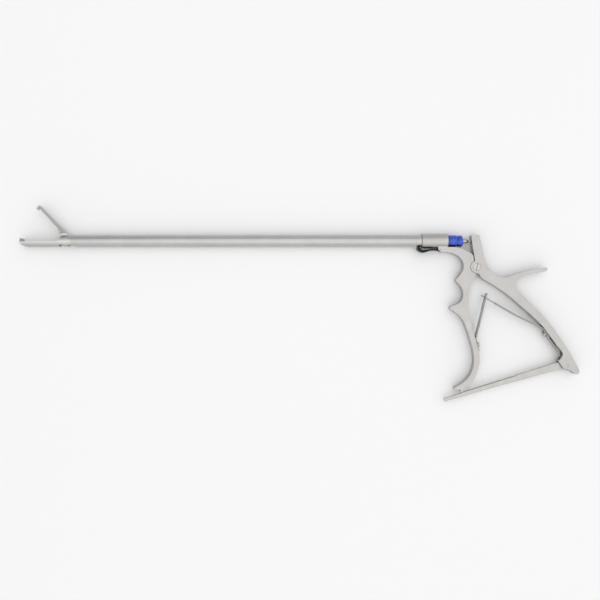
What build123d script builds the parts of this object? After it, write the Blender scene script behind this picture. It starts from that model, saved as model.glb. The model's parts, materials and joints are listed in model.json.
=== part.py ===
from build123d import *
import math
import os

# Claw grasping forceps with a long straight shaft, a ratchet pistol handle and two leaf springs.
# Millimetres. The instrument lies flat: X runs along the shaft towards the handle, the jaws point
# to -X, the handle hangs to -Y and Z is across the handle's thickness. The origin is on the shaft's
# axis at the front face of the handle's hub. The jaw and the handle are both open.

# Shaft
shaft_dia = 10.0
tube_wall = 0.5
seat_step = 0.2
seat_lead = 5.0
shaft_length = 287.0
window_length = 1.4
window_width = 3.6
end_window_width = 7.0
end_window_reach = 2.4

# Hub and seal cap
hub_dia = 12.0
hub_length = 21.0
hub_back_wall = 3.0
nipple_dia = 6.6
nipple_length = 5.5
cap_dia = 9.6
cap_length = 12.3
cap_waist = 0.5
cap_clear = 0.35
bush_length = 9.0
front_bush_setback = 29.0

# Drive rod
rod_dia = 3.8
rod_clear = 0.06
rod_end = 36.5
neck_dia = 2.0
cone_length = 2.0
stud_length = 6.0
ball_dia = 5.0
ball_x = 44.0
ball_clear = 0.15

# Jaws
jaw_dia = 9.6
jaw_length = 42.0
upper_jaw_setback = 3.6
jaw_pivot_ahead = 3.5
jaw_pivot_height = 2.5
jaw_pin_dia = 2.0
pin_clear = 0.03
jaw_opening_deg = 46.0
tail_thick = 2.8
tail_gap = 0.1
crank_drop = 5.1
crank_pin_dia = 1.6
crank_slot_clear = 0.15
trough_wall = 1.2
spigot_length = 19.0
spigot_wall = 0.55
head_length = 12.0
head_clear = 0.08
fork_cheek = 1.9
tooth_height = 2.8
tooth_width = 2.4
tooth_thick = 1.3

# Handle and lever
handle_thick = 8.0
pivot_x = 44.5
pivot_y = -21.4
pivot_dia = 3.0
knuckle_radius = 5.0
knuckle_clear = 0.35
tongue_thick = 3.8
tongue_clear = 0.15
tongue_swing_room = 0.7
screw_head_dia = 5.8
screw_head_clear = 0.15
screw_head_height = 1.2

# Ratchet
bar_thick = 3.0
bar_clear = 0.2
bar_slope_deg = 17.2
ratchet_x = 118.4
ratchet_y = -102.0
eye_radius = 4.4
ratchet_pin_dia = 2.5
tooth_pitch = 1.25
tooth_depth = 0.7
tooth_count = 37

# Leaf springs and their screws
leaf_width = 5.4
leaf_thick = 1.0
ratchet_leaf_thick = 0.6
leaf_tongue_width = 1.8
leaf_fork_gap = 2.8
leaf_screw_dia = 2.2
leaf_screw_depth = 3.4
leaf_head_dia = 4.3
leaf_head_height = 1.5

# Latch under the hub
latch_x = 14.6
latch_y = -7.2
latch_barrel_radius = 1.25
latch_barrel_clear = 0.25
latch_width = 4.8
latch_pad_width = 6.8
latch_pin_dia = 1.5

shaft_r = shaft_dia / 2
jaw_r = jaw_dia / 2
tube_r = shaft_r - tube_wall
seat_r = shaft_r - seat_step
hub_r = hub_dia / 2
rod_r = rod_dia / 2
half = handle_thick / 2
tongue_half = tongue_thick / 2
fork_half = tongue_half + tongue_clear
bar_half = bar_thick / 2
bar_slot_half = bar_half + bar_clear
tube_seat = hub_length - hub_back_wall
pivot = (pivot_x, pivot_y)
jaw_pivot = (-shaft_length - jaw_pivot_ahead, jaw_pivot_height)
head_r = tube_r - spigot_wall - head_clear
crank_swing = math.radians(jaw_opening_deg / 2)
crank_travel = crank_drop * math.tan(crank_swing)
crank_y = jaw_pivot_height - crank_drop
slope = math.radians(bar_slope_deg)


def round_x(radius, x0, x1):
    """Round bar on the shaft's axis from x0 to x1."""
    bar = Cylinder(radius, x1 - x0, align=(Align.CENTER, Align.CENTER, Align.MIN))
    return Pos(x0, 0, 0) * Rot(0, 90, 0) * bar


def pipe_x(outer, inner, x0, x1):
    return round_x(outer, x0, x1) - round_x(inner, x0 - 1, x1 + 1)


def round_z(radius, x, y, z0, z1):
    pin = Cylinder(radius, z1 - z0, align=(Align.CENTER, Align.CENTER, Align.MIN))
    return Pos(x, y, z0) * pin


def block(x0, x1, y0, y1, z0, z1):
    box = Box(x1 - x0, y1 - y0, z1 - z0)
    return Pos((x0 + x1) / 2, (y0 + y1) / 2, (z0 + z1) / 2) * box


def slab(face, half_width):
    """Plate of an XY outline, the same each side of the middle plane."""
    return extrude(face, half_width, both=True)


def patch(*points):
    return make_face(Polyline(*points, close=True))


def jx(ahead):
    """X of a place that far ahead of the tube's end, towards the jaw tips."""
    return -shaft_length - ahead


# Front handle: hub, neck, finger grip, tongue for the lever's pivot, and pawl at the toe
pad_low = Vector(46.4, -91.0)
pad_high = Vector(42.9, -78.5)
pawl_tip = Vector(32.2, -123.75)


def grip_face():
    neck = (13.0, -7.0)
    heel = (26.6, -120.0)
    sole = (27.2, -121.6)
    front = Spline(
        neck, (15.0, -8.5), (21.0, -9.4), (26.0, -10.6), (30.0, -12.9), (33.0, -16.6), (33.9, -20.6),
        (32.9, -25.0), (30.6, -28.4), (28.1, -31.0), tangents=((0.8, -0.9), (-0.71, -0.7)),
    )
    front += ThreePointArc((28.1, -31.0), (27.6, -32.2), (28.1, -33.4))
    front += Spline(
        (28.1, -33.4), (31.0, -36.6), (33.0, -40.3), (33.5, -44.5), (32.4, -48.5), (29.6, -51.2),
        (26.0, -52.7), (23.4, -53.8), tangents=((0.71, -0.7), (-0.84, -0.54)),
    )
    front += ThreePointArc((23.4, -53.8), (22.8, -54.9), (23.4, -56.0))
    front += Spline(
        (23.4, -56.0), (28.6, -59.7), (32.6, -63.9), (35.8, -70.5), (38.3, -78.0), (40.6, -86.0),
        (42.0, -92.0), (42.4, -97.5), (41.8, -103.0), (39.6, -108.8), (36.0, -113.6), (31.6, -117.2),
        heel, tangents=((0.84, -0.54), (-0.9, -0.45)),
    )
    toe = ThreePointArc(heel, (26.3, -121.0), sole)
    notch = (31.0, -121.5)
    pawl_left = (pawl_tip.X - 0.4, pawl_tip.Y)
    pawl_right = (pawl_tip.X + 0.4, pawl_tip.Y)
    instep = (34.6, -120.9)
    pawl = Polyline(sole, notch, pawl_left, pawl_right, instep)
    palm = Spline(
        instep, (38.0, -117.6), (41.0, -115.0), (43.3, -111.0), (45.6, -104.7), (46.8, -97.8),
        (pad_low.X, pad_low.Y),
    )
    pad = Line(pad_low, pad_high)
    crotch = (43.3, -27.4)
    web = Spline(
        (pad_high.X, pad_high.Y), (41.4, -74.0), (39.2, -66.0), (37.9, -59.0), (37.6, -52.0),
        (37.8, -46.0), (38.6, -40.0), (40.1, -34.5), (42.3, -30.0), crotch,
    )
    low = (pivot_x, pivot_y - knuckle_radius)
    high = (pivot_x, pivot_y + knuckle_radius)
    lobe = ThreePointArc(low, (pivot_x + knuckle_radius, pivot_y), high)
    shoulder = (42.2, -16.9)
    crest = (41.7, -12.3)
    edge = Polyline(high, shoulder, crest)
    roof = -cap_dia / 2 - cap_clear
    top = Spline(crest, (40.0, -10.4), (37.0, -8.8), (33.5, -7.1), (30.0, -5.9), (26.0, roof))
    root = hub_length - 0.3
    back = Polyline((26.0, roof), (root, roof), (root, -3.0), (neck[0], -3.0), neck)
    return make_face(front + toe + pawl + palm + pad + web + Line(crotch, low) + lobe + edge + top + back)


def front_handle():
    body = slab(grip_face(), half)
    body += round_x(hub_r, 0, hub_length)
    body += round_x(nipple_dia / 2, hub_length - 1, hub_length + nipple_length)
    body -= round_x(seat_r, -1, tube_seat)
    body -= round_x(rod_r + 0.3, tube_seat - 1, hub_length + nipple_length + 1)
    recess = knuckle_radius + knuckle_clear
    for side in (-1, 1):
        z0, z1 = sorted((side * tongue_half, side * (half + 1)))
        body -= round_z(recess, pivot_x, pivot_y, z0, z1)
    body -= round_z(pivot_dia / 2 + pin_clear, pivot_x, pivot_y, -half, half)
    pocket = latch_barrel_radius + latch_barrel_clear
    room = latch_width / 2 + latch_barrel_clear
    body -= round_z(pocket, latch_x, latch_y, -room, room)
    body -= block(10, latch_x, latch_y - pocket - 1, -hub_r, -room, room)
    body -= round_z(latch_pin_dia / 2, latch_x, latch_y, -half, half)
    body -= leaf_screw_hole(front_screw_seat())
    return body


# Shaft
def outer_tube():
    tube = pipe_x(shaft_r, tube_r, -shaft_length, -seat_lead) + pipe_x(seat_r, tube_r, -seat_lead, tube_seat)
    window = block(-3.5, -3.5 + window_length, -shaft_r - 1, 0, -window_width / 2, window_width / 2)
    relief = end_window_width / 2
    tube -= block(jx(1), jx(-end_window_reach), -shaft_r - 1, -2, -relief, relief)
    return tube - window


def guide_bush(x0):
    return pipe_x(tube_r, rod_r + rod_clear, x0, x0 + bush_length)


def seal_cap():
    back = hub_length + cap_length
    groove = hub_length + 8.0
    r = cap_dia / 2
    flange_r = r - 0.2
    skin = Polyline((hub_length, 0), (hub_length, r - 0.8))
    skin += ThreePointArc((hub_length, r - 0.8), (hub_length + 0.25, r - 0.25), (hub_length + 0.8, r))
    skin += Line((hub_length + 0.8, r), (groove - 1.0, r))
    skin += Spline((groove - 1.0, r), (groove, r - cap_waist), (groove + 1.0, flange_r))
    skin += Line((groove + 1.0, flange_r), (back - 1.2, flange_r))
    skin += ThreePointArc((back - 1.2, flange_r), (back - 0.35, flange_r - 0.35), (back, flange_r - 1.2))
    skin += Polyline((back, flange_r - 1.2), (back, 0), (hub_length, 0))
    cap = revolve(make_face(skin), Axis.X)
    cap -= round_x(nipple_dia / 2, hub_length - 1, hub_length + nipple_length)
    return cap - round_x(rod_r + rod_clear, hub_length, back + 1)


# Drive rod, with the ball for the lever at the back and the fork for the jaw's tail at the front
def head_front():
    return jaw_pivot[0] - crank_travel


def head_back():
    return jx(-5) + head_length


def drive_rod():
    rod = round_x(rod_r, head_back() - 4, rod_end)
    return rod - round_x(neck_dia / 2, rod_end - stud_length, rod_end + 1)


def rod_ball_end():
    cone = Cone(rod_r, neck_dia / 2, cone_length, align=(Align.CENTER, Align.CENTER, Align.MIN))
    end = round_x(neck_dia / 2, rod_end - stud_length, ball_x)
    end += Pos(rod_end, 0, 0) * Rot(0, 90, 0) * cone
    return end + Pos(ball_x, 0, 0) * Sphere(ball_dia / 2)


def rod_head():
    head = round_x(head_r, jx(-5), head_back())
    cheek_front = head_front() - crank_pin_dia / 2 - 1.1
    inner = tail_thick / 2 + tail_gap
    cheeks = round_x(head_r, cheek_front, jx(-5) + 0.5)
    cheeks -= block(cheek_front - 1, jx(-5), -head_r, head_r, -inner, inner)
    cheeks -= block(cheek_front - 1, jx(-5), 0.75, head_r + 1, -head_r, head_r)
    keep = block(cheek_front, jx(-5) + 1, -head_r, head_r, -inner - fork_cheek, inner + fork_cheek)
    head += cheeks & keep
    head -= round_x(rod_r, head_back() - 4, head_back() + 1)
    return head - round_z(crank_pin_dia / 2, head_front(), crank_y, -head_r, head_r)


def rod_head_pin():
    return round_z(crank_pin_dia / 2, head_front(), crank_y, -head_r, head_r) & round_x(
        head_r, head_front() - 2, head_front() + 2
    )


# Fixed lower jaw: spigot in the tube, two ears for the pivot pin, trough and three teeth
def fixed_jaw():
    ear_top = jx(6)
    rim = -0.6
    tip = jx(jaw_length)
    side = Polyline((jx(-1), jaw_r + 1), (ear_top, jaw_r + 1))
    side += Polyline((ear_top, jaw_r + 1), (ear_top, jaw_r - 0.05))
    side += Spline((ear_top, jaw_r - 0.05), (jx(7.6), 4.2), (jx(9.2), 2.7), (jx(10.6), 0.6), (jx(12), rim))
    side += Line((jx(12), rim), (tip, rim))
    side += Spline(
        (tip, rim), (tip + 0.9, -2.5), (tip + 3, -4.0), (tip + 6, -4.75), (tip + 10, -jaw_r - 0.05)
    )
    side += Polyline((tip + 10, -jaw_r - 0.05), (jx(-1), -jaw_r - 0.05), (jx(-1), jaw_r + 1))
    jaw = slab(make_face(side), jaw_r) & round_x(jaw_r, tip - 1, jx(0))
    jaw += round_x(tube_r, jx(0), jx(-spigot_length))
    bore = head_r + head_clear
    ceiling = 1.0
    mechanism = round_x(bore, jx(10.2), jx(0))
    mechanism -= block(jx(11), jx(-1), ceiling, bore + 1, -bore, bore)
    jaw -= mechanism
    jaw -= round_x(bore, jx(0), jx(-spigot_length - 1))
    slot = tail_thick / 2 + 2 * tail_gap
    jaw -= block(jx(12.5), jx(-3), -0.2, jaw_r + 1, -slot, slot)
    jaw -= block(jx(10), jx(-3), -jaw_r - 1, 0, -slot - 0.8, slot + 0.8)
    relief = end_window_width / 2
    for x0, x1 in ((jx(10), jx(6.4)), (jx(2.6), jx(-end_window_reach))):
        jaw -= block(x0, x1, -jaw_r - 1, -2, -relief, relief)
    jaw -= round_x(jaw_r - trough_wall, tip + tooth_thick, jx(12.4))
    for z in (-3.3, 0, 3.3):
        jaw += lower_tooth(tip, rim, z)
    return jaw - round_z(jaw_pin_dia / 2, *jaw_pivot, -jaw_r, jaw_r)


def lower_tooth(tip, rim, z):
    w = tooth_width / 2
    face = Plane.YZ * make_face(
        Polyline((rim - 0.8, z - w), (rim - 0.8, z + w), (rim + 0.3, z + w), (rim + tooth_height, z + 0.1),
                 (rim + tooth_height, z - 0.1), (rim + 0.3, z - w), close=True)
    )
    tooth = Pos(tip + 0.05, 0, 0) * extrude(face, tooth_thick)
    return tooth & round_x(jaw_r, tip - 1, tip + 3)


def jaw_pivot_pin():
    pin = round_z(jaw_pin_dia / 2, *jaw_pivot, -jaw_r, jaw_r)
    return pin & round_x(jaw_r, jaw_pivot[0] - 3, jaw_pivot[0] + 3)


# Moving upper jaw, drawn closed and then turned open about its pin
def upper_jaw():
    tip = jx(jaw_length - upper_jaw_setback)
    back = jx(8.2)
    arm = make_face(
        Polyline((back, jaw_r + 0.5), (back + 0.4, 4.6), (jx(9.6), 2.9), (jx(11), 0.7), (jx(11.6), 0.9))
        + Spline((jx(11.6), 0.9), (jx(13.4), 2.4), (jx(17), 2.75), (jx(28), 3.0), (tip + 1.6, 3.2))
        + Polyline((tip + 1.6, 3.2), (tip, 3.0), (tip, jaw_r + 0.5), (back, jaw_r + 0.5))
    )
    jaw = slab(arm, jaw_r) & round_x(jaw_r, tip - 1, back + 2)
    for z in (-1.7, 1.7):
        jaw += prong(tip, z)
    jx0, jy0 = jaw_pivot
    boss = 2.45
    plate = patch((jx(12), 4.6), (jx(12), 1.6), (jx0, jy0 - boss), (jx0 + 0.5, 4.6))
    neck = slab(plate, tail_thick / 2) + round_z(boss, jx0, jy0, -tail_thick / 2, tail_thick / 2)
    neck += tail()
    jaw += neck & round_x(jaw_r, jx(14), jx(-3))
    jaw -= round_z(jaw_pin_dia / 2 + pin_clear, jx0, jy0, -jaw_r, jaw_r)
    jaw -= crank_slot()
    return turned(jaw, jaw_pivot, -jaw_opening_deg)


def prong(tip, z):
    w = tooth_width / 2 - 0.1
    face = Plane.YZ * make_face(
        Polyline((3.6, z - w), (3.6, z + w), (2.6, z + w), (0.7, z + 0.1),
                 (0.7, z - 0.1), (2.6, z - w), close=True)
    )
    return Pos(tip, 0, 0) * extrude(face, tooth_thick)


def crank_at(radius):
    a = crank_swing
    return (jaw_pivot[0] + radius * math.sin(a), jaw_pivot[1] - radius * math.cos(a))


def crank_bar(half_width, r0, r1, half_z):
    a, b = Vector(*crank_at(r0)), Vector(*crank_at(r1))
    length = (b - a).length
    mid = (a + b) * 0.5
    bar = Box(half_width * 2, length, half_z * 2)
    bar = Pos(mid.X, mid.Y, 0) * Rot(0, 0, jaw_opening_deg / 2) * bar
    for end in (a, b):
        bar += round_z(half_width, end.X, end.Y, -half_z, half_z)
    return bar


def crank_reach():
    return crank_drop / math.cos(crank_swing)


def tail():
    wide = crank_pin_dia / 2 + crank_slot_clear + 0.85
    return crank_bar(wide, 0, crank_reach() + 0.1, tail_thick / 2)


def crank_slot():
    wide = crank_pin_dia / 2 + crank_slot_clear
    return crank_bar(wide, crank_drop - 0.1, crank_reach() + 0.1, jaw_r)


def turned(solid, centre, degrees):
    return Pos(*centre, 0) * Rot(0, 0, degrees) * Pos(-centre[0], -centre[1], 0) * solid


# Rear lever: ball socket at the top, two cheeks round the tongue, thumb spur and ratchet fork
seat_high = Vector(99.2, -70.9)
seat_low = Vector(109.4, -84.9)


def lever_face():
    knuckle_top = (42.9, pivot_y + math.sqrt(knuckle_radius**2 - (pivot_x - 42.9) ** 2))
    low = (pivot_x, pivot_y - knuckle_radius)
    left = Spline((40.3, 4.0), (40.5, 0), (41.2, -5.0), (42.1, -10.0), knuckle_top)
    disc = ThreePointArc(knuckle_top, (pivot_x - knuckle_radius, pivot_y), low)
    lip = (46.6, -27.2)
    inner = Spline(
        lip, (49.2, -30.8), (53.9, -33.6), (58.9, -36.6), (68.8, -43.4), (78.8, -51.8), (88.8, -60.6),
        (seat_high.X, seat_high.Y),
    )
    beak = (111.2, -98.3)
    hollow = Spline((seat_low.X, seat_low.Y), (113.0, -89.0), (114.7, -92.2), (113.8, -95.4), beak)
    jowl = (115.6, -104.6)
    toe_low = (124.6, -108.8)
    mouth = Line(beak, jowl) + Spline(jowl, (118.8, -105.2), (121.8, -106.4), toe_low)
    toe_high = (128.0, -105.6)
    toe = ThreePointArc(toe_low, (127.4, -108.7), toe_high)
    crook = (76.0, -35.8)
    outer = Spline(
        toe_high, (126.4, -102.1), (123.3, -96.4), (118.5, -88.2), (113.5, -80.7), (108.6, -73.8),
        (103.6, -66.9), (98.6, -61.1), (88.7, -51.0), (82.6, -45.3), (78.3, -41.0), crook,
        (78.0, -31.5), (82.0, -29.3), (87.5, -27.8), (93.0, -26.6), (101.0, -24.8),
    )
    tip = ThreePointArc((101.0, -24.8), (102.2, -23.2), (100.8, -21.8))
    spur = Spline(
        (100.8, -21.8), (94.0, -22.6), (84.0, -24.9), (74.0, -28.0), (69.0, -29.6), (65.0, -29.9),
        (61.5, -28.9), (58.0, -26.5), (55.0, -23.2), (52.6, -19.0), (51.0, -14.5), (49.9, -10.0),
        (48.8, -5.0), (47.6, 0), (46.8, 4.0),
    )
    top = ThreePointArc((46.8, 4.0), (46.5, 4.6), (45.9, 4.8)) + Line((45.9, 4.8), (41.1, 4.8))
    top += ThreePointArc((41.1, 4.8), (40.5, 4.6), (40.3, 4.0))
    seat = Line(seat_high, seat_low)
    return make_face(
        left + disc + Line(low, lip) + inner + seat + hollow + mouth + toe + outer + tip + spur + top
    )


def bar_frame():
    """Origin on the ratchet pivot, X along the ratchet bar towards its free end, Y to its toothed edge."""
    x_dir = (-math.cos(slope), -math.sin(slope), 0)
    return Plane(origin=(ratchet_x, ratchet_y, 0), x_dir=x_dir, z_dir=(0, 0, -1))


def rear_lever():
    body = slab(lever_face(), half)
    body -= round_z(knuckle_radius + tongue_swing_room, pivot_x, pivot_y, -fork_half, fork_half)
    body -= block(pivot_x - 9, pivot_x, pivot_y - 8, pivot_y + 5.6, -fork_half, fork_half)
    body -= pivot_screw_shape(screw_head_clear)
    socket = ball_dia / 2 + ball_clear
    body -= Pos(ball_x, 0, 0) * Sphere(socket)
    body -= Pos(ball_x, 3.5, 0) * Rot(90, 0, 0) * Cylinder(socket, 7)
    keyhole = neck_dia / 2 + 0.25
    body -= block(38, ball_x, -2.0, 6, -keyhole, keyhole)
    body -= ratchet_slot()
    body -= round_z(ratchet_pin_dia / 2 + pin_clear, ratchet_x, ratchet_y, -half, half)
    return body - leaf_screw_hole(rear_screw_seat())


def ratchet_slot():
    room = eye_radius + 0.5
    run = 18
    face = Circle(room)
    face += patch((0, room), (run, room), (run, -16), (0, -16))
    slot = bar_frame() * extrude(face, bar_slot_half, both=True)
    slot += block(ratchet_x, ratchet_x + room, -115, ratchet_y, -bar_slot_half, bar_slot_half)
    channel = patch((111.5, -88.5), (115.8, -91.5), (117.6, -97.0), (118.4, -99.5), (112.5, -99.5))
    return slot + slab(channel, bar_slot_half)


def pivot_screw_shape(head_clear):
    shank = round_z(pivot_dia / 2, pivot_x, pivot_y, -half, half)
    head_radius = screw_head_dia / 2 + head_clear
    return shank + round_z(head_radius, pivot_x, pivot_y, half - screw_head_height, half)


def pivot_screw():
    slot = Pos(pivot_x, pivot_y, half) * Rot(0, 0, 76) * Box(screw_head_dia + 1, 0.9, 1.2)
    return pivot_screw_shape(0) - slot


# Ratchet bar, a thin blade with fine saw teeth on its upper edge
def ratchet_bar():
    reach = 104.0
    first = 89.0
    line = eye_radius
    teeth = []
    for i in range(tooth_count):
        crest = first - i * tooth_pitch
        teeth += [(crest, line - tooth_depth), (crest, line)]
    last = first - tooth_count * tooth_pitch
    nose = (reach - 2.5, line - tooth_depth)
    chin = (reach - 2.5, line - 3.4)
    top = Polyline(nose, *teeth, (last, line - tooth_depth), (last - 2, line), (0, line))
    end = ThreePointArc(chin, (reach, line - 2.0), nose)
    low = Spline(
        (0, -eye_radius), (5.0, -2.1), (12.0, -1.3), (30.0, -0.9), (60.0, 0.2), (85.0, 0.6), chin
    )
    back = ThreePointArc((0, line), (-eye_radius, 0), (0, -eye_radius))
    blade = extrude(make_face(top + end + low + back), bar_half, both=True)
    bar = bar_frame() * blade
    return bar - round_z(ratchet_pin_dia / 2 + pin_clear, ratchet_x, ratchet_y, -half, half)


def ratchet_pin():
    return round_z(ratchet_pin_dia / 2, ratchet_x, ratchet_y, -half, half)


# Leaf springs
def beside(start, end, distance, offset):
    """Point that far from start towards end, and offset to the left of that way."""
    way = (end - start).normalized()
    left = Vector(-way.Y, way.X)
    return start + way * distance + left * offset


def leaf(points, radii, thick, width):
    return slab(trace(FilletPolyline(*points, radius=radii), thick), width / 2)


def leaf_screw_hole(seat):
    hole = Cylinder(leaf_screw_dia / 2, leaf_screw_depth, align=(Align.CENTER, Align.CENTER, Align.MAX))
    return seat * hole


def leaf_screw(seat, stack):
    """Round-head slotted screw, its head standing on the stack of leaves on the seat."""
    low = (Align.CENTER, Align.CENTER, Align.MIN)
    shank = Pos(0, 0, -leaf_screw_depth) * Cylinder(leaf_screw_dia / 2, leaf_screw_depth + stack, align=low)
    head = Cylinder(leaf_head_dia / 2, leaf_head_height, align=low)
    head = Pos(0, 0, stack) * fillet(head.edges().group_by(Axis.Z)[-1], 0.9)
    slot = Pos(0, 0, stack + leaf_head_height) * Box(0.6, leaf_head_dia + 1, 1.0)
    return seat * (shank + head - slot)


def front_screw_seat():
    spot = beside(pad_low, pad_high, 5.8, 0)
    out = beside(pad_low, pad_high, 5.8, -1) - spot
    return Plane(origin=(spot.X, spot.Y, 0), x_dir=(0, 0, 1), z_dir=(out.X, out.Y, 0))


def rear_screw_seat():
    spot = beside(seat_high, seat_low, 5.6, 0)
    out = beside(seat_high, seat_low, 5.6, -1) - spot
    return Plane(origin=(spot.X, spot.Y, 0), x_dir=(0, 0, 1), z_dir=(out.X, out.Y, 0))


def front_leaf_spring():
    off = -leaf_thick / 2
    foot = beside(pad_low, pad_high, 1.0, off)
    bend = beside(pad_low, pad_high, 10.8, off)
    shape = leaf([foot, bend, (51.9, -48.0), (53.3, -42.8)], [4, 8], leaf_thick, leaf_width)
    gap = leaf_fork_gap / 2
    shape -= block(45, 60, -55.5, -40, -gap, gap)
    return shape - front_screw_seat() * Cylinder(leaf_screw_dia / 2, 6)


def rear_leaf_spring():
    off = -leaf_thick / 2
    foot = beside(seat_high, seat_low, 9.5, off)
    bend = beside(seat_high, seat_low, 0.6, off)
    shape = leaf([foot, bend, (76.0, -60.4), (49.0, -44.6)], [5, 60], leaf_thick, leaf_width)
    side = leaf_tongue_width / 2
    for z0, z1 in ((-leaf_width, -side), (side, leaf_width)):
        shape -= block(40, 60.5, -60, -40, z0, z1)
    return shape - rear_screw_seat() * Cylinder(leaf_screw_dia / 2, 6)


def ratchet_spring():
    off = -leaf_thick - ratchet_leaf_thick / 2
    foot = beside(seat_high, seat_low, 2.6, off)
    lift = beside(seat_high, seat_low, 9.0, off)
    knee = beside(seat_high, seat_low, 17.6, off - 0.3)
    shape = leaf([foot, lift, knee, (115.6, -97.1)], [20, 6], ratchet_leaf_thick, leaf_width)
    narrow = bar_half - 0.2
    for z0, z1 in ((-leaf_width, -narrow), (narrow, leaf_width)):
        shape -= block(105, 125, -105, -87.6, z0, z1)
    return shape - rear_screw_seat() * Cylinder(leaf_screw_dia / 2, 8)


# Latch that holds the tube in the hub
def tube_latch():
    tongue = Spline(
        (latch_x - 0.6, latch_y + 1.1), (11.0, -6.5), (8.0, -6.45), (5.0, -6.9), (2.2, -7.5), (0, -7.3),
        (-1.5, -6.3), (-2.4, -4.75),
    )
    tongue += Line((-2.4, -4.75), (-3.2, -4.75))
    tongue += Spline(
        (-3.2, -4.75), (-3.9, -6.2), (-3.1, -7.9), (-1.0, -9.1), (1.5, -9.5), (4.0, -8.9), (7.0, -8.0),
        (10.0, -7.8), (latch_x - 0.6, latch_y - 1.05),
    )
    tongue += Line((latch_x - 0.6, latch_y - 1.05), (latch_x - 0.6, latch_y + 1.1))
    face = make_face(tongue)
    latch = slab(face, latch_width / 2)
    pad = slab(face, latch_pad_width / 2) & block(-10, 8.5, -12, 0, -10, 10)
    latch += pad
    latch += round_z(latch_barrel_radius, latch_x, latch_y, -latch_width / 2, latch_width / 2)
    return latch - round_z(latch_pin_dia / 2 + pin_clear, latch_x, latch_y, -half, half)


def latch_pin():
    return round_z(latch_pin_dia / 2, latch_x, latch_y, -half + 0.4, half - 0.4)


parts = {
    "front_handle": front_handle(),
    "outer_tube": outer_tube(),
    "front_guide_bush": guide_bush(-shaft_length + front_bush_setback),
    "rear_guide_bush": guide_bush(tube_seat - bush_length),
    "seal_cap": seal_cap(),
    "fixed_jaw": fixed_jaw(),
    "jaw_pivot_pin": jaw_pivot_pin(),
    "upper_jaw": upper_jaw(),
    "drive_rod": drive_rod(),
    "rod_ball_end": rod_ball_end(),
    "rod_head": rod_head(),
    "rod_head_pin": rod_head_pin(),
    "tube_latch": tube_latch(),
    "latch_pin": latch_pin(),
    "rear_lever": rear_lever(),
    "pivot_screw": pivot_screw(),
    "ratchet_bar": ratchet_bar(),
    "ratchet_pin": ratchet_pin(),
    "front_leaf_spring": front_leaf_spring(),
    "front_spring_screw": leaf_screw(front_screw_seat(), leaf_thick),
    "rear_leaf_spring": rear_leaf_spring(),
    "ratchet_spring": ratchet_spring(),
    "rear_spring_screw": leaf_screw(rear_screw_seat(), leaf_thick + ratchet_leaf_thick),
}

os.makedirs("parts", exist_ok=True)
for name, solid in parts.items():
    export_step(solid, f"parts/{name}.step")
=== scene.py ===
import json
import math

import bmesh
import bpy
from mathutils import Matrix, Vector

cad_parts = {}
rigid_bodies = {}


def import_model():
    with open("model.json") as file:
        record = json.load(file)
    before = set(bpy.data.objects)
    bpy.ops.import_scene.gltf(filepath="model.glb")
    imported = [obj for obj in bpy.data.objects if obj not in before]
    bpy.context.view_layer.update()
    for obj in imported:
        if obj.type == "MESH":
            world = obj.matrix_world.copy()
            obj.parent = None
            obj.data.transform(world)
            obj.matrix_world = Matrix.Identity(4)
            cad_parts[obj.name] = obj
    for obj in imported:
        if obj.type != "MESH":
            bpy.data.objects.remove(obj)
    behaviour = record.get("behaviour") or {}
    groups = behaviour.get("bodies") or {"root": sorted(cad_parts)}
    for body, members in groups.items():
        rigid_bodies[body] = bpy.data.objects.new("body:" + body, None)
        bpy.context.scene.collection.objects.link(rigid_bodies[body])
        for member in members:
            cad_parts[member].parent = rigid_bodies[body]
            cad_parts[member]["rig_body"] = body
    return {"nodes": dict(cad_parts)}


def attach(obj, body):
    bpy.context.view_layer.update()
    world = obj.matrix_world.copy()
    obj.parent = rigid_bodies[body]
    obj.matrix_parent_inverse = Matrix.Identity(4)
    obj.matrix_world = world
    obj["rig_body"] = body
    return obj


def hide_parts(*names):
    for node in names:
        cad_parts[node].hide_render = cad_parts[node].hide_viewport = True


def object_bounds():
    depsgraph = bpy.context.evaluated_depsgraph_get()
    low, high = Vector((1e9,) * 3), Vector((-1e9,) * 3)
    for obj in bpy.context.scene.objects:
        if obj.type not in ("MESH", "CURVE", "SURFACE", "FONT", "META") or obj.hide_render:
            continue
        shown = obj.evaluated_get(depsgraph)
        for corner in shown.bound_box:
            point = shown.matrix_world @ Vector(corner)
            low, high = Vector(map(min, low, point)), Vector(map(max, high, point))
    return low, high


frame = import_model()
cad_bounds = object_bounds()


# --- Place and light -------------------------------------------------------------------------
# The instrument lies on its side on a pale table, seen from straight above. A wide soft panel
# hangs over it and the pale room gives the rest of the light.
view_centre = (-0.0999, -0.0484)
view_height = 0.59
view_width = 0.4932

camera_data = bpy.data.cameras.new("overhead_camera")
camera_data.sensor_width = 36.0
camera_data.lens = camera_data.sensor_width * view_height / view_width
camera_data.clip_start = 0.01
camera = bpy.data.objects.new("overhead_camera", camera_data)
camera.location = (*view_centre, view_height)
bpy.context.scene.collection.objects.link(camera)
bpy.context.scene.camera = camera
bpy.context.scene.view_settings.view_transform = "Standard"


def soft_panel(name, place, aim, size, watts):
    data = bpy.data.lights.new(name, "AREA")
    data.shape = "RECTANGLE"
    data.size, data.size_y = size
    data.energy = watts
    panel = bpy.data.objects.new(name, data)
    panel.location = place
    way = panel.location - Vector(aim)
    panel.rotation_euler = way.to_track_quat("Z", "Y").to_euler()
    bpy.context.scene.collection.objects.link(panel)


soft_panel("top_panel", (0.1, -0.1, 1.5), (-0.05, -0.05, 0.0), (2.4, 2.4), 7.6)


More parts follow.
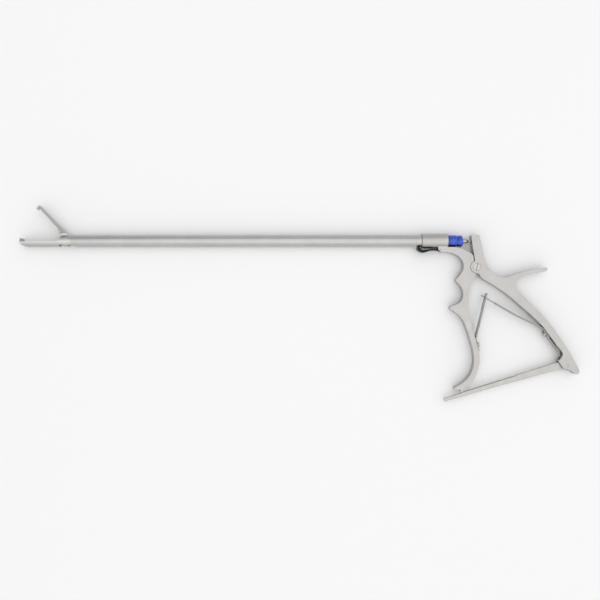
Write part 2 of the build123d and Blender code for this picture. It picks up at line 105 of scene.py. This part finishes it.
def facing(nodes, link, way, direction, start, end, low, high):
    """A level that goes softly from low to high as a direction is faced more squarely."""
    towards = nodes.new("ShaderNodeVectorMath")
    towards.operation = "DOT_PRODUCT"
    towards.inputs[1].default_value = direction
    link(way, towards.inputs[0])
    level = nodes.new("ShaderNodeMapRange")
    level.interpolation_type = "SMOOTHSTEP"
    level.inputs["From Min"].default_value = start
    level.inputs["From Max"].default_value = end
    level.inputs["To Min"].default_value = low
    level.inputs["To Max"].default_value = high
    link(towards.outputs["Value"], level.inputs["Value"])
    return level.outputs["Result"]


def room():
    """A pale room, brightest overhead and to the lower left, with a dark corner to the upper left."""
    surroundings = bpy.data.worlds.new("pale_room")
    surroundings.use_nodes = True
    nodes = surroundings.node_tree.nodes
    link = surroundings.node_tree.links.new
    way = nodes.new("ShaderNodeTexCoord").outputs["Generated"]
    glow = facing(nodes, link, way, (-0.42, -0.42, 0.80), 0.0, 0.95, 0.74, 1.0)
    dimming = facing(nodes, link, way, (-0.80, 0.45, 0.40), 0.6, 0.95, 0.0, 0.42)
    level = nodes.new("ShaderNodeMath")
    level.operation = "SUBTRACT"
    link(glow, level.inputs[0])
    link(dimming, level.inputs[1])
    sky = nodes["Background"]
    sky.inputs["Color"].default_value = (1.0, 1.0, 1.0, 1.0)
    link(level.outputs["Value"], sky.inputs["Strength"])
    bpy.context.scene.world = surroundings


room()


def new_finish(name):
    """A new material with its nodes, its link call and its shader."""
    finish = bpy.data.materials.new(name)
    finish.use_nodes = True
    nodes = finish.node_tree.nodes
    return finish, nodes, finish.node_tree.links.new, nodes["Principled BSDF"]


def toned(nodes, link, value, dark, light, start=0.0, end=1.0):
    """A colour that goes from dark to light as a value goes from start to end."""
    tone = nodes.new("ShaderNodeValToRGB")
    for stop, place, colour in zip(tone.color_ramp.elements, (start, end), (dark, light)):
        stop.position = place
        stop.color = (*colour, 1)
    link(value, tone.inputs["Fac"])
    return tone.outputs["Color"]


def table_finish():
    """Matt white laminate with a barely visible mottle."""
    finish, nodes, link, shader = new_finish("pale_table")
    shader.inputs["Roughness"].default_value = 0.75
    shader.inputs["Specular IOR Level"].default_value = 0.25
    mottle = nodes.new("ShaderNodeTexNoise")
    mottle.inputs["Scale"].default_value = 9.0
    tone = toned(nodes, link, mottle.outputs["Fac"], (0.925, 0.927, 0.93), (0.945, 0.945, 0.945))
    link(tone, shader.inputs["Base Color"])
    return finish


def table_top():
    reach = 2.5
    floor_z = cad_bounds[0][2]
    mesh = bpy.data.meshes.new("table_top")
    corners = ((-reach, -reach), (reach, -reach), (reach, reach), (-reach, reach))
    mesh.from_pydata([(x, y, floor_z) for x, y in corners], [], [(0, 1, 2, 3)])
    table = bpy.data.objects.new("table_top", mesh)
    table.data.materials.append(table_finish())
    bpy.context.scene.collection.objects.link(table)


table_top()


# --- Fixed handle and lever ------------------------------------------------------------------
# Both are milled from stainless steel plate, their rims rounded over and the whole surface bead
# blasted to a soft, slightly warm grey. The hub is one with the fixed handle.
plate_round = 0.0009
crease_deg = 35.0
smooth_deg = 38.0
same_place = 1e-6
plain_surface, rim_surface = 0, 1


def settle(piece):
    """Fix a piece's modifiers into its mesh."""
    evaluated = piece.evaluated_get(bpy.context.evaluated_depsgraph_get())
    shape = bpy.data.meshes.new_from_object(evaluated)
    piece.modifiers.clear()
    piece.data = shape


def mark_surfaces(shape):
    """Note on each face how steep it stands, as rounded rim or as side wall, for the finish to read."""
    rim = shape.attributes.new("rim", "FLOAT", "FACE")
    wall = shape.attributes.new("wall", "FLOAT", "FACE")
    for face in shape.polygons:
        kind = rim if face.material_index == rim_surface else wall
        kind.data[face.index].value = 1.0 - abs(face.normal.z)
        face.use_smooth = True
    shape.materials.clear()


def eased(node, width, steps=2, flat_deg=0.5):
    """A copy of a plain solid with its sharp rims rounded to that width, in its place.

    Neighbouring faces within flat_deg of each other are first joined into one.
    """
    source = frame["nodes"][node]
    mesh = source.data.copy()
    mesh.name = node + "_eased"
    work = bmesh.new()
    work.from_mesh(mesh)
    bmesh.ops.remove_doubles(work, verts=work.verts, dist=same_place)
    bmesh.ops.dissolve_limit(
        work, angle_limit=math.radians(flat_deg), verts=work.verts, edges=work.edges, delimit=set()
    )
    work.to_mesh(mesh)
    work.free()
    mesh.materials.clear()
    for surface in (plain_surface, rim_surface):
        mesh.materials.append(None)
    piece = bpy.data.objects.new(node + "_eased", mesh)
    bpy.context.scene.collection.objects.link(piece)
    if mesh.has_custom_normals:
        bpy.context.view_layer.objects.active = piece
        bpy.ops.mesh.customdata_custom_splitnormals_clear()
    rim = piece.modifiers.new("rim", "BEVEL")
    rim.width = width
    rim.segments = steps
    rim.limit_method = "ANGLE"
    rim.angle_limit = math.radians(crease_deg)
    rim.miter_outer = "MITER_ARC"
    rim.use_clamp_overlap = True
    rim.material = rim_surface
    settle(piece)
    mark_surfaces(piece.data)
    piece.data.set_sharp_from_angle(angle=math.radians(smooth_deg))
    level = piece.modifiers.new("level", "WEIGHTED_NORMAL")
    level.weight = 100
    level.keep_sharp = True
    settle(piece)
    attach(piece, source["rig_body"])
    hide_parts(node)
    return piece


def ranged(nodes, link, value, low, high, start=0.0, end=1.0):
    """A number that goes from low to high as a value goes from start to end."""
    spread = nodes.new("ShaderNodeMapRange")
    spread.inputs["From Min"].default_value = start
    spread.inputs["From Max"].default_value = end
    spread.inputs["To Min"].default_value = low
    spread.inputs["To Max"].default_value = high
    link(value, spread.inputs["Value"])
    return spread.outputs["Result"]


def grained(nodes, link, place, scale, detail=2.0, roughness=0.5):
    """A soft random pattern laid over a place."""
    pattern = nodes.new("ShaderNodeTexNoise")
    pattern.inputs["Scale"].default_value = scale
    pattern.inputs["Detail"].default_value = detail
    pattern.inputs["Roughness"].default_value = roughness
    link(place, pattern.inputs["Vector"])
    return pattern.outputs["Fac"]


def raised(nodes, link, height, strength, depth):
    """The relief that a pattern raises on the surface."""
    relief = nodes.new("ShaderNodeBump")
    relief.inputs["Strength"].default_value = strength
    relief.inputs["Distance"].default_value = depth
    link(height, relief.inputs["Height"])
    return relief


def marked(nodes, link, mark, most):
    """How much of a mark a face carries, from none to that much."""
    read = nodes.new("ShaderNodeAttribute")
    read.attribute_name = mark
    return ranged(nodes, link, read.outputs["Fac"], 0.0, most, 0.02, 0.3)


def mixed(nodes, link, factor, base, over):
    """A base colour with another laid over it as far as the factor says."""
    blend = nodes.new("ShaderNodeMix")
    blend.data_type = "RGBA"
    blend.inputs["B"].default_value = (*over, 1)
    link(factor, blend.inputs["Factor"])
    link(base, blend.inputs["A"])
    return blend.outputs["Result"]


def satin_steel(
    name, dark, light, rough, grain, grain_depth,
    rim_shading_tone=(0.20, 0.196, 0.19), wall_shading_tone=(0.46, 0.45, 0.435), crevice_shade_tone=(0.12, 0.116, 0.11),
):
    """Stainless steel with a fine even grain and cloudy tone; its steep rims and side walls are painted
    set tones for light and shade, and painted shade darkens its corners.
    """
    finish, nodes, link, shader = new_finish(name)
    shader.inputs["Metallic"].default_value = 1.0
    place = nodes.new("ShaderNodeTexCoord").outputs["Object"]
    clouds = grained(nodes, link, place, 90.0, 8.0, 0.72)
    tone = toned(nodes, link, clouds, dark, light, 0.3, 0.7)
    beads = grained(nodes, link, place, grain, 3.0, 0.7)
    link(ranged(nodes, link, beads, rough - 0.07, rough + 0.07), shader.inputs["Roughness"])
    link(raised(nodes, link, beads, 0.35, grain_depth).outputs["Normal"], shader.inputs["Normal"])
    # Painted light and shade: steep faces of the rounded rims take a set tone, darker than most of these
    # steels and lighter on the blackened steel.
    rim_shaded = mixed(nodes, link, marked(nodes, link, "rim", 0.8), tone, rim_shading_tone)
    # Painted light and shade: steep side walls take a set tone, a little darker than the plate, jaw and
    # turned steels and lighter than the leaf steel.
    wall_shaded = mixed(nodes, link, marked(nodes, link, "wall", 0.8), rim_shaded, wall_shading_tone)
    # Painted shade: faces that the AO node finds close to other surfaces are darkened towards a set dark
    # tone.
    crevice = nodes.new("ShaderNodeAmbientOcclusion")
    crevice.samples = 8
    crevice.inputs["Distance"].default_value = 0.0016
    crevice_shade = ranged(nodes, link, crevice.outputs["AO"], 0.55, 0.0, 0.4, 0.9)
    link(mixed(nodes, link, crevice_shade, wall_shaded, crevice_shade_tone), shader.inputs["Base Color"])
    return finish


blasted_steel = satin_steel(
    "blasted_steel", (0.455, 0.442, 0.425), (0.53, 0.516, 0.50), 0.42, 5200.0, 0.00004
)
for node in ("front_handle", "rear_lever"):
    piece = eased(node, plate_round, steps=4)
    piece.data.materials.append(blasted_steel)


# --- Ratchet bar and its pin -----------------------------------------------------------------
# A thin blade blanked from the same steel, saw teeth cut along its upper edge, turning on a
# plain pin ground flush with the lever's cheeks.
blade_round = 0.00018
blade_pin_round = 0.00015
ratchet_bar = eased("ratchet_bar", blade_round)
ratchet_bar.data.materials.append(blasted_steel)
ratchet_pin = eased("ratchet_pin", blade_pin_round)
ratchet_pin.data.materials.append(blasted_steel)


# --- Shaft and guide bushes ------------------------------------------------------------------
# The shaft is drawn tube, centreless ground so that very fine rings run round it. Two white
# PTFE sleeves inside keep the rod on the axis.
def ground_steel(name, dark, light, rough, ring_scale):
    """Steel ground all round while it turns about X, which leaves very fine rings."""
    finish = satin_steel(name, dark, light, rough, 4000.0, 0.00002)
    nodes = finish.node_tree.nodes
    link = finish.node_tree.links.new
    stretch = nodes.new("ShaderNodeMapping")
    stretch.inputs["Scale"].default_value = (ring_scale, 40.0, 40.0)
    link(nodes["Texture Coordinate"].outputs["Object"], stretch.inputs["Vector"])
    rings = grained(nodes, link, stretch.outputs["Vector"], 1.0)
    relief = raised(nodes, link, rings, 0.25, 0.00003)
    link(nodes["Bump"].outputs["Normal"], relief.inputs["Normal"])
    link(relief.outputs["Normal"], nodes["Principled BSDF"].inputs["Normal"])
    return finish


def dress(node, finish):
    """Give a plain solid its finish on every face."""
    for surface in frame["nodes"][node].material_slots:
        surface.material = finish


tube_steel = ground_steel("tube_steel", (0.47, 0.46, 0.45), (0.53, 0.52, 0.51), 0.36, 5000.0)
dress("outer_tube", tube_steel)


def ptfe():
    """White PTFE, slightly waxy, with faint turning marks."""
    finish, nodes, link, shader = new_finish("white_ptfe")
    shader.inputs["Base Color"].default_value = (0.82, 0.82, 0.8, 1)
    shader.inputs["Subsurface Weight"].default_value = 0.15
    shader.inputs["Subsurface Scale"].default_value = 0.001
    marks = nodes.new("ShaderNodeTexWave")
    marks.inputs["Scale"].default_value = 900.0
    marks.inputs["Distortion"].default_value = 1.5
    link(ranged(nodes, link, marks.outputs["Fac"], 0.38, 0.52), shader.inputs["Roughness"])
    return finish


white_ptfe = ptfe()
for node in ("front_guide_bush", "rear_guide_bush"):
    dress(node, white_ptfe)


# --- Jaws ------------------------------------------------------------------------------------
# Both jaws are milled from bar and blasted like the handle, with sharper rims and points. The
# upper one turns on a pin ground flush with the lower one's ears.
jaw_steel = satin_steel("jaw_steel", (0.54, 0.53, 0.515), (0.62, 0.61, 0.595), 0.36, 5200.0, 0.00003)
jaw_round = 0.00018
jaw_pin_round = 0.0001
lower_jaw = eased("fixed_jaw", jaw_round, flat_deg=0.0)
upper_jaw = eased("upper_jaw", jaw_round)
jaw_pin = eased("jaw_pivot_pin", jaw_pin_round)
for piece, slot in ((lower_jaw, "jaw_steel"), (upper_jaw, "jaw_steel"), (jaw_pin, "screw_steel")):
    piece.data.materials.append(jaw_steel)


# --- Drive rod -------------------------------------------------------------------------------
# Bright drawn wire rod: a fork with a cross pin at the jaw end, a coned neck and a ball at the
# lever end.
rod_steel = ground_steel("rod_steel", (0.40, 0.385, 0.37), (0.47, 0.45, 0.43), 0.25, 3500.0)
for node in ("drive_rod", "rod_ball_end"):
    dress(node, rod_steel)
fork_round = 0.0001
for node, slot in (("rod_head", "rod_steel"), ("rod_head_pin", "screw_steel")):
    piece = eased(node, fork_round)
    piece.data.materials.append(rod_steel)


# --- Seal cap --------------------------------------------------------------------------------
# A moulded blue silicone cap pushed over the hub's nipple, with a waist between its two beads. It
# seals round the rod, which slides through it.
def silicone():
    """Saturated blue silicone with a satin skin, with painted shade darkening it in its folds."""
    finish, nodes, link, shader = new_finish("blue_silicone")
    shader.inputs["Subsurface Weight"].default_value = 0.05
    shader.inputs["Subsurface Radius"].default_value = (0.2, 0.4, 1.0)
    shader.inputs["Subsurface Scale"].default_value = 0.0015
    shader.inputs["Specular IOR Level"].default_value = 0.75
    place = nodes.new("ShaderNodeTexCoord").outputs["Object"]
    clouds = grained(nodes, link, place, 260.0, 5.0)
    tone = toned(nodes, link, clouds, (0.002, 0.03, 0.34), (0.008, 0.10, 0.74), 0.3, 0.75)
    # Painted shade: where the AO node finds nearby surfaces, the blue is darkened towards a near-black
    # blue.
    crevice = nodes.new("ShaderNodeAmbientOcclusion")
    crevice.inputs["Distance"].default_value = 0.003
    fold_shade = ranged(nodes, link, crevice.outputs["AO"], 1.0, 0.0, 0.5, 0.98)
    link(mixed(nodes, link, fold_shade, tone, (0.0005, 0.006, 0.09)), shader.inputs["Base Color"])
    skin = grained(nodes, link, place, 3000.0)
    link(ranged(nodes, link, skin, 0.14, 0.28), shader.inputs["Roughness"])
    link(raised(nodes, link, skin, 0.2, 0.00003).outputs["Normal"], shader.inputs["Normal"])
    return finish


dress("seal_cap", silicone())


# --- Leaf springs ----------------------------------------------------------------------------
# Satin spring steel strip. The rear leaf ends in a narrow tongue that passes through the front
# leaf's fork, and a third, shorter leaf presses on the ratchet bar's heel.
# The default side wall tone is lighter than this grey, so the leaf's steep walls carry painted light; its
# rims and crevices carry painted shade.
leaf_steel = satin_steel("leaf_steel", (0.27, 0.263, 0.255), (0.33, 0.322, 0.31), 0.34, 4200.0, 0.00003)
leaf_round = 0.00012
for node in ("front_leaf_spring", "rear_leaf_spring", "ratchet_spring"):
    piece = eased(node, leaf_round)
    piece.data.materials.append(leaf_steel)


# --- Screws and the latch's pin --------------------------------------------------------------
# Turned stainless screws with sawn slots: a flat one for the lever's pivot and two round-headed
# ones for the leaf springs. The latch turns on a short plain pin of the same steel.
turned_steel = satin_steel("turned_steel", (0.48, 0.47, 0.455), (0.56, 0.55, 0.535), 0.30, 4800.0, 0.00002)
screw_round = 0.00012
for node in ("pivot_screw", "front_spring_screw", "rear_spring_screw", "latch_pin"):
    piece = eased(node, screw_round)
    piece.data.materials.append(turned_steel)


# --- Latch -----------------------------------------------------------------------------------
# A small thumb latch of blackened spring steel under the hub, its nose in the tube's window. It
# turns on its pin, and its pad is wider than its tongue.
def blackened():
    """Oxide-black steel, with a faint painted grey highlight on its steep rims and painted shade on its
    walls and in its corners.
    """
    finish = satin_steel(
        "blackened_steel", (0.006, 0.006, 0.0065), (0.012, 0.012, 0.013), 0.38, 4200.0, 0.00003,
        # These tones are painted light and shade: a lighter grey highlight on steep rims, and darker shade
        # on walls and in crevices.
        rim_shading_tone=(0.03, 0.03, 0.031), wall_shading_tone=(0.004, 0.004, 0.004), crevice_shade_tone=(0.003, 0.003, 0.003),
    )
    shader = finish.node_tree.nodes["Principled BSDF"]
    shader.inputs["Metallic"].default_value = 0.1
    shader.inputs["Specular IOR Level"].default_value = 0.2
    return finish


latch_round = 0.0003
latch = eased("tube_latch", latch_round, steps=3)
latch.data.materials.append(blackened())
